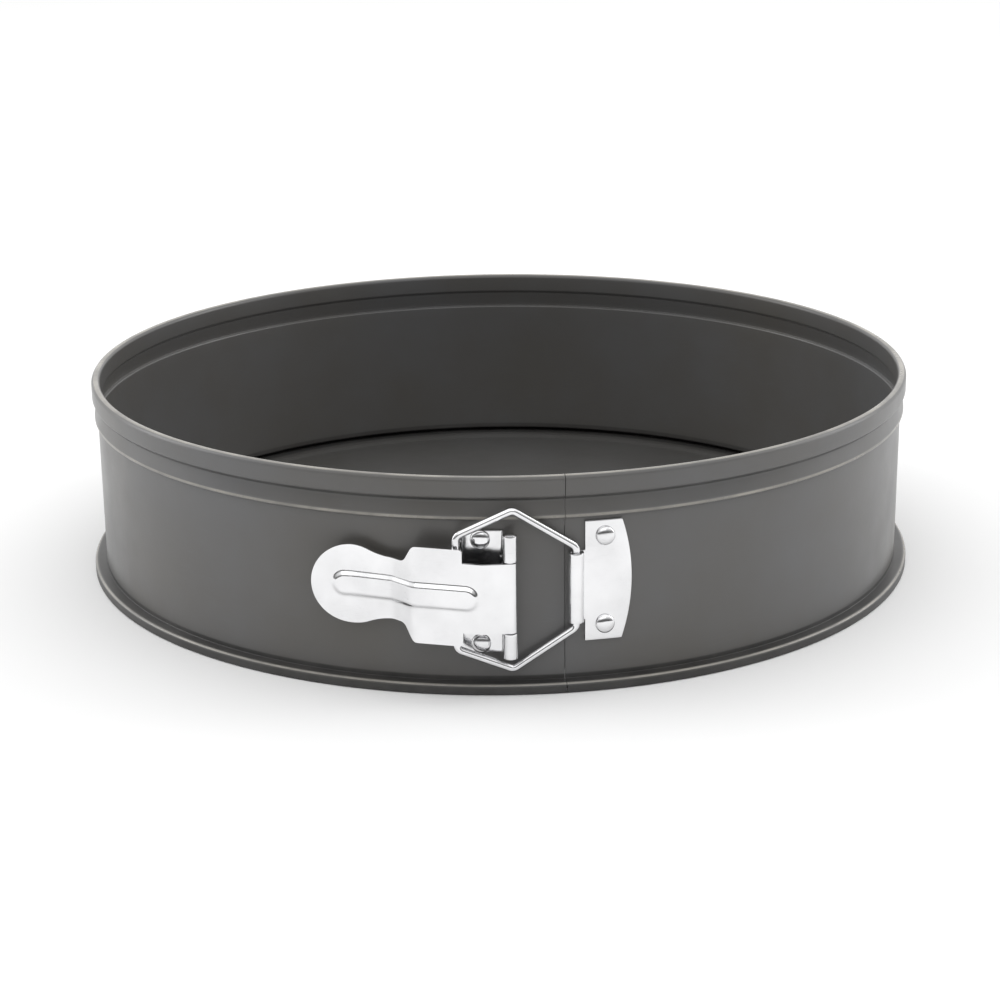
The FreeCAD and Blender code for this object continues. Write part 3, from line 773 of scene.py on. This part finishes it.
def add_hooks(build):
    """The two lugs under the wings that hold the ends of the wire."""
    back = BAIL_CRANK + WIRE + HOOK_GAP + PLATE / 2
    under = -HOOK_DROP - PLATE / 2
    path = soften([
        (back, LEVER_LIFT - LEVER_METAL * 0.6),
        (back, under, 0.6),
        (back + PLATE / 2 - HOOK_LIP, under),
    ])
    pairs = strip_section(path, PLATE)
    for middle in (HOOK_RISE - HOOK_LEVEL, HOOK_RISE + HOOK_LEVEL):
        sides = []
        for level in (middle - HOOK_HALF, middle + HOOK_HALF):
            outer = [build.verts.new(hook_point(a, level)) for a, b in pairs]
            inner = [build.verts.new(hook_point(b, level)) for a, b in pairs]
            sides.append((outer, inner))
        (o1, i1), (o2, i2) = sides
        made = []
        for j in range(len(pairs) - 1):
            made.append(build.faces.new((o1[j], o1[j + 1], o2[j + 1], o2[j])))
            made.append(build.faces.new((i1[j], i2[j], i2[j + 1], i1[j + 1])))
            made.append(build.faces.new((o1[j], i1[j], i1[j + 1], o1[j + 1])))
            made.append(build.faces.new((o2[j], o2[j + 1], i2[j + 1], i2[j])))
        made.append(build.faces.new((o1[0], o2[0], i2[0], i1[0])))
        made.append(build.faces.new((o1[-1], i1[-1], i2[-1], o2[-1])))
        bmesh.ops.recalc_face_normals(build, faces=made)


def hook_point(flat, level):
    """A point of a lug in metres, from its section and its height above the hinge's middle."""
    spin = Matrix.Rotation(-LEVER_SLOPE, 4, "Z")
    turned = spin @ Vector((-flat.x, -flat.y, 0))
    return Vector((HINGE.x + turned.x, HINGE.y + turned.y, HINGE_MID + level)) * MM


# ---------------------------------------------------------------- the hinge bracket and keeper
def against_wall(along, out, rise, origin_turn):
    """A point by its distance along the wall from a turn, its stand-off and its height."""
    return at_turn(origin_turn + math.degrees(along / WALL), WALL + out, rise)


def make_bracket():
    turn = math.degrees(math.atan2(HINGE.x, -HINGE.y))
    reach = math.hypot(HINGE.x, HINGE.y) - WALL
    middle = KNUCKLE - PLATE / 2
    start = math.radians(BRACKET_START - turn) * WALL
    stop = math.radians(BRACKET_END - turn) * WALL
    bend = -middle - BRACKET_BEND
    flat = divide([Vector((start, PLATE / 2)), Vector((bend, PLATE / 2))], 1.0)
    rise = soften([
        (bend, PLATE / 2),
        (-middle, PLATE / 2, 1.1),
        (-middle, reach),
    ])
    roll = [Vector((middle * math.cos(a), reach + middle * math.sin(a)))
            for a in (math.radians(180.0 - 14.0 * k) for k in range(1, 24))]
    path = flat + rise[1:] + roll
    plain = flat + divide([flat[-1], Vector((stop, PLATE / 2))], 0.5)[1:]
    gap = MIDDLE_HALF + SIDE_GAP
    lug = [gap + (BRACKET_HALF - gap) * k / 10 for k in range(11)]
    inner = [-gap + 2 * gap * k / 20 for k in range(21)]
    blocks = []
    for levels, route in (([-v for v in lug[::-1]], path), (inner, plain), (lug, path)):
        blocks.append([[against_wall(p.x, p.y, HINGE_MID + v, turn) for p in route]
                       for v in levels])
    piece = pressed_sheet("hinge_bracket_skin", blocks, PLATE, 0.0, 0.14)
    paint(piece, LATCH_PLATE)
    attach(piece, "ring_left")
    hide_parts("hinge_bracket")


def make_keeper():
    turn = math.degrees(math.atan2(KEEPER_PIVOT.x, -KEEPER_PIVOT.y))
    centre = ROLL + RIVET_SLACK
    middle = ROLL - PLATE / 2
    stand_off = PLATE / 2 + RIVET_SLACK
    plate_start = math.radians(KEEPER_START - turn) * WALL
    plate_end = math.radians(KEEPER_END - turn) * WALL
    roll = [Vector((middle * math.cos(a), centre + middle * math.sin(a)))
            for a in (math.radians(-35.0 + 13.0 * k) for k in range(24))]
    tab = roll + [Vector((plate_start * k / 5, stand_off)) for k in range(6)]
    low, high = BAIL_MID - ROLL_HALF, BAIL_MID + ROLL_HALF
    bottom, top = KEEPER_MID - KEEPER_HALF, KEEPER_MID + KEEPER_HALF
    levels = [bottom + (low - bottom) * k / 10 for k in range(11)]
    levels += [low + (high - low) * k / 30 for k in range(1, 31)]
    levels += [high + (top - high) * k / 10 for k in range(1, 11)]
    grid = []
    for z in levels:
        sag = KEEPER_BULGE - math.sqrt(KEEPER_BULGE ** 2 - (z - KEEPER_MID) ** 2)
        end = plate_end - sag
        plate = [Vector((plate_start + (end - plate_start) * k / 20, stand_off))
                 for k in range(1, 21)]
        has_tab = low - 1e-6 <= z <= high + 1e-6
        line = []
        for i, p in enumerate(tab + plate):
            if i < len(tab) - 1 and not has_tab:
                line.append(None)
            else:
                line.append(against_wall(p.x, p.y, z, turn))
        grid.append(line)
    piece = pressed_sheet("keeper_plate_skin", [grid], KEEPER_METAL, 0.0, 0.14)
    paint(piece, LATCH_PLATE)
    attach(piece, "ring_right")
    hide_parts("keeper_plate")


# ---------------------------------------------------------------- the wire bail and the pin
def make_bail():
    crank = Vector((-BAIL_CRANK, -LEVER_LIFT + BAIL_DROP, 0))
    lever_end = HINGE + Matrix.Rotation(-LEVER_SLOPE, 4, "Z") @ crank
    aim = Vector((lever_end.x - KEEPER_PIVOT.x, lever_end.y - KEEPER_PIVOT.y))
    far = aim.length
    aim.normalize()
    path = soften([
        (far, -BAIL_END_HALF),
        (far, -BAIL_CORNER_HALF, BAIL_BEND),
        (BAIL_PEAK_PLACE, -BAIL_PEAK_HALF, BAIL_BEND),
        (0.0, -BAIL_SIDE_HALF, BAIL_BEND),
        (0.0, BAIL_SIDE_HALF, BAIL_BEND),
        (BAIL_PEAK_PLACE, BAIL_PEAK_HALF, BAIL_BEND),
        (far, BAIL_CORNER_HALF, BAIL_BEND),
        (far, BAIL_END_HALF),
    ], step=0.12)
    path = divide(path, 2.0)
    across = Vector((-aim.y, aim.x, 0))
    build = bmesh.new()
    sides = 20

    def ring_at(point, normal, radius):
        centre = Vector((KEEPER_PIVOT.x + aim.x * point.x, KEEPER_PIVOT.y + aim.y * point.x,
                         BAIL_MID + point.y))
        side = Vector((aim.x * normal.x, aim.y * normal.x, normal.y))
        ring = []
        for k in range(sides):
            a = 2 * math.pi * k / sides
            spoke = (side * math.cos(a) + across * math.sin(a)) * radius
            ring.append(build.verts.new((centre + spoke) * MM))
        return ring

    first = (path[1] - path[0]).normalized()
    last = (path[-1] - path[-2]).normalized()
    route = [(path[0], 0.6), (path[0] + first * 0.12, 0.88), (path[0] + first * 0.35, 1.0)]
    route += [(p, 1.0) for p in path[1:-1]]
    route += [(path[-1] - last * 0.35, 1.0), (path[-1] - last * 0.12, 0.88), (path[-1], 0.6)]
    normals = side_normals([p for p, size in route])
    rings = [ring_at(point, normal, WIRE * size)
             for (point, size), normal in zip(route, normals)]
    for low, high in zip(rings, rings[1:]):
        for k in range(sides):
            n = (k + 1) % sides
            build.faces.new((low[k], low[n], high[n], high[k]))
    build.faces.new(rings[0][::-1])
    build.faces.new(rings[-1])
    bmesh.ops.recalc_face_normals(build, faces=build.faces)
    piece = finish_mesh("bail_wire_skin", build)
    paint(piece, WIRE_PLATE)
    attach(piece, "bail")
    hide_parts("bail_wire")


def make_pin():
    head = PIN_RADIUS * 1.5
    half = BRACKET_HALF
    profile = [
        (0.0, -half - PIN_HEAD), (head * 0.7, -half - 0.38), (head, -half - 0.15), (head, -half),
        (PIN_RADIUS, -half), (PIN_RADIUS, half), (head, half), (head, half + 0.15),
        (head * 0.7, half + 0.38), (0.0, half + PIN_HEAD),
    ]
    build = bmesh.new()
    lathe(build, [(r * MM, z * MM) for r, z in profile], HINGE * MM, Vector((0, 0, 1)), 24)
    piece = finish_mesh("hinge_pin_skin", build)
    paint(piece, WIRE_PLATE)
    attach(piece, "ring_left")
    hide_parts("hinge_pin")


# ---------------------------------------------------------------- rivets
def rivet_form():
    """One domed rivet with its flattened tail, pointing out along +Z from the pan's axis."""
    tail = WALL - METAL - RIVET_SLACK
    face = WALL + PLATE + RIVET_SLACK
    dome = [(RIVET_HEAD * math.cos(t), face + 0.25 + DOME_RISE * math.sin(t))
            for t in (math.pi / 2 * k / 8 for k in range(8))]
    profile = [
        (0.0, tail - 0.8), (1.9, tail - 0.76), (2.4, tail - 0.5), (RIVET_TAIL, tail),
        (SHANK, tail), (SHANK, face), (RIVET_HEAD - 0.1, face), (RIVET_HEAD, face + 0.1),
        *dome, (0.0, face + 0.25 + DOME_RISE),
    ]
    build = bmesh.new()
    lathe(build, [(r * MM, z * MM) for r, z in profile], Vector((0, 0, 0)), Vector((0, 0, 1)), 28)
    return finish_mesh("rivet_form", build)


def make_rivet_tree():
    """Sets one rivet at each point of a row, turned to face out from the pan."""
    tree = bpy.data.node_groups.new("rivet_row", "GeometryNodeTree")
    face = tree.interface
    face.new_socket("Geometry", in_out="OUTPUT", socket_type="NodeSocketGeometry")
    face.new_socket("Geometry", in_out="INPUT", socket_type="NodeSocketGeometry")
    face.new_socket("Rivet", in_out="INPUT", socket_type="NodeSocketObject")
    face.new_socket("Turn", in_out="INPUT", socket_type="NodeSocketFloat")
    face.new_socket("Spacing", in_out="INPUT", socket_type="NodeSocketFloat")
    face.new_socket("Middle Height", in_out="INPUT", socket_type="NodeSocketFloat")
    face.new_socket("Count", in_out="INPUT", socket_type="NodeSocketInt")
    face.new_socket("Plate", in_out="INPUT", socket_type="NodeSocketMaterial")
    inside = tree.nodes.new("NodeGroupInput")
    outside = tree.nodes.new("NodeGroupOutput")
    link = tree.links.new
    gaps = tree.nodes.new("ShaderNodeMath")
    gaps.operation = "SUBTRACT"
    gaps.inputs[1].default_value = 1.0
    link(inside.outputs["Count"], gaps.inputs[0])
    length = tree.nodes.new("ShaderNodeMath")
    length.operation = "MULTIPLY"
    link(gaps.outputs[0], length.inputs[0])
    link(inside.outputs["Spacing"], length.inputs[1])
    drop = tree.nodes.new("ShaderNodeMath")
    drop.operation = "MULTIPLY_ADD"
    drop.inputs[1].default_value = -0.5
    link(length.outputs[0], drop.inputs[0])
    link(inside.outputs["Middle Height"], drop.inputs[2])
    start = tree.nodes.new("ShaderNodeCombineXYZ")
    link(drop.outputs[0], start.inputs["Z"])
    step = tree.nodes.new("ShaderNodeCombineXYZ")
    link(inside.outputs["Spacing"], step.inputs["Z"])
    row = tree.nodes.new("GeometryNodeMeshLine")
    row.mode = "OFFSET"
    link(inside.outputs["Count"], row.inputs["Count"])
    link(start.outputs[0], row.inputs["Start Location"])
    link(step.outputs[0], row.inputs["Offset"])
    form = tree.nodes.new("GeometryNodeObjectInfo")
    link(inside.outputs["Rivet"], form.inputs["Object"])
    aim = tree.nodes.new("ShaderNodeCombineXYZ")
    aim.inputs["X"].default_value = math.pi / 2
    link(inside.outputs["Turn"], aim.inputs["Z"])
    place = tree.nodes.new("GeometryNodeInstanceOnPoints")
    link(row.outputs["Mesh"], place.inputs["Points"])
    link(form.outputs["Geometry"], place.inputs["Instance"])
    link(aim.outputs[0], place.inputs["Rotation"])
    real = tree.nodes.new("GeometryNodeRealizeInstances")
    link(place.outputs["Instances"], real.inputs["Geometry"])
    metal = tree.nodes.new("GeometryNodeSetMaterial")
    link(real.outputs["Geometry"], metal.inputs["Geometry"])
    link(inside.outputs["Plate"], metal.inputs["Material"])
    link(metal.outputs["Geometry"], outside.inputs["Geometry"])
    return tree


def make_rivets():
    form = rivet_form()
    tree = make_rivet_tree()
    names = {item.name: item.identifier for item in tree.interface.items_tree
             if item.in_out == "INPUT"}
    # Each row's name, body, turn in degrees, middle height, spacing and the rivets it draws.
    rows = (
        ("bracket_rivets", "ring_left", -2.46, HINGE_MID, 33.0,
         ("bracket_rivet_upper", "bracket_rivet_lower")),
        ("keeper_rivets", "ring_right", 12.8, KEEPER_MID, 28.0,
         ("keeper_rivet_upper", "keeper_rivet_lower")),
    )
    for name, body, turn, middle, spacing, nodes in rows:
        piece = bpy.data.objects.new(name, bpy.data.meshes.new(name))
        bpy.context.scene.collection.objects.link(piece)
        modifier = piece.modifiers.new("rivet_row", "NODES")
        modifier.node_group = tree
        modifier[names["Rivet"]] = form
        modifier[names["Turn"]] = math.radians(turn)
        modifier[names["Spacing"]] = spacing * MM
        modifier[names["Middle Height"]] = middle * MM
        modifier[names["Count"]] = 2
        modifier[names["Plate"]] = LATCH_PLATE
        bake_modifiers(piece)
        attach(piece, body)
        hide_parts(*nodes)
    bpy.data.objects.remove(form, do_unlink=True)


make_band()
make_base()
make_bracket()
make_keeper()
make_lever()
make_bail()
make_pin()
make_rivets()


# ---------------------------------------------------------------- floor, light and camera
FLOOR_HALF = 40.0
CAMERA_PLACE = Vector((0.0, -0.779, 0.266))
CAMERA_AIM = Vector((0.0, -0.020, 0.022))
CAMERA_LENS = 82.0
CAMERA_ROLL = math.radians(-0.6)
PAN_MIDDLE = Vector((0.0, 0.0, 0.03))


def make_floor():
    build = bmesh.new()
    corners = [build.verts.new((x * FLOOR_HALF, y * FLOOR_HALF, 0.0))
               for x, y in ((-1, -1), (1, -1), (1, 1), (-1, 1))]
    build.faces.new(corners)
    floor = finish_mesh("floor", build)
    material, tree, shader, place = new_material("pale_floor")
    shader.inputs["Roughness"].default_value = 0.6
    shader.inputs["Specular IOR Level"].default_value = 0.0
    cloud = noise(tree, 3.0, 2.0, 0.5, place)
    tone = colour_between(tree, cloud.outputs["Fac"], (0.80, 0.80, 0.80), (0.84, 0.84, 0.84))
    tree.links.new(tone, shader.inputs["Base Color"])
    paint(floor, material)


def add_light(name, place, width, height, power):
    """A soft box in watts, its sizes and place in metres, aimed at the pan's middle."""
    light = bpy.data.lights.new(name, "AREA")
    light.shape = "RECTANGLE"
    light.size = width
    light.size_y = height
    light.energy = power
    lamp = bpy.data.objects.new(name, light)
    lamp.location = place
    lamp.rotation_euler = (PAN_MIDDLE - Vector(place)).to_track_quat("-Z", "Y").to_euler()
    bpy.context.scene.collection.objects.link(lamp)


def make_studio():
    """A white room that darkens towards the camera's side, and four soft boxes."""
    scene = bpy.context.scene
    world = bpy.data.worlds.new("studio")
    world.use_nodes = True
    tree = world.node_tree
    sky = tree.nodes["Background"]
    sky.inputs["Color"].default_value = (1.0, 1.0, 1.0, 1.0)
    place = tree.nodes.new("ShaderNodeTexCoord")
    lean = tree.nodes.new("ShaderNodeVectorMath")
    lean.operation = "DOT_PRODUCT"
    lean.inputs[1].default_value = (0.0, 0.55, 1.5)
    tree.links.new(place.outputs["Generated"], lean.inputs[0])
    room = spread(tree, lean.outputs["Value"], -0.15, 0.75, 0.10, 1.2)
    path = tree.nodes.new("ShaderNodeLightPath")
    shown = math_node(tree, "MAXIMUM", room, path.outputs["Is Camera Ray"])
    tree.links.new(shown, sky.inputs["Strength"])
    scene.world = world
    scene.view_settings.view_transform = "Standard"
    add_light("front_box", (0.0, -1.7, 1.3), 1.8, 1.0, 3.5)
    add_light("left_box", (-1.7, 0.4, 0.8), 1.0, 1.4, 10.0)
    add_light("right_box", (1.7, 0.4, 0.8), 1.0, 1.4, 10.0)
    add_light("top_box", (0.0, 0.6, 2.2), 3.0, 3.0, 8.0)


def make_camera():
    scene = bpy.context.scene
    camera = bpy.data.cameras.new("camera")
    camera.sensor_width = 36.0
    camera.lens = CAMERA_LENS
    viewer = bpy.data.objects.new("camera", camera)
    aim = (CAMERA_AIM - CAMERA_PLACE).to_track_quat("-Z", "Y").to_matrix().to_4x4()
    roll = Matrix.Rotation(CAMERA_ROLL, 4, "Z")
    viewer.matrix_world = Matrix.Translation(CAMERA_PLACE) @ aim @ roll
    scene.collection.objects.link(viewer)
    scene.camera = viewer


make_floor()
make_studio()
make_camera()
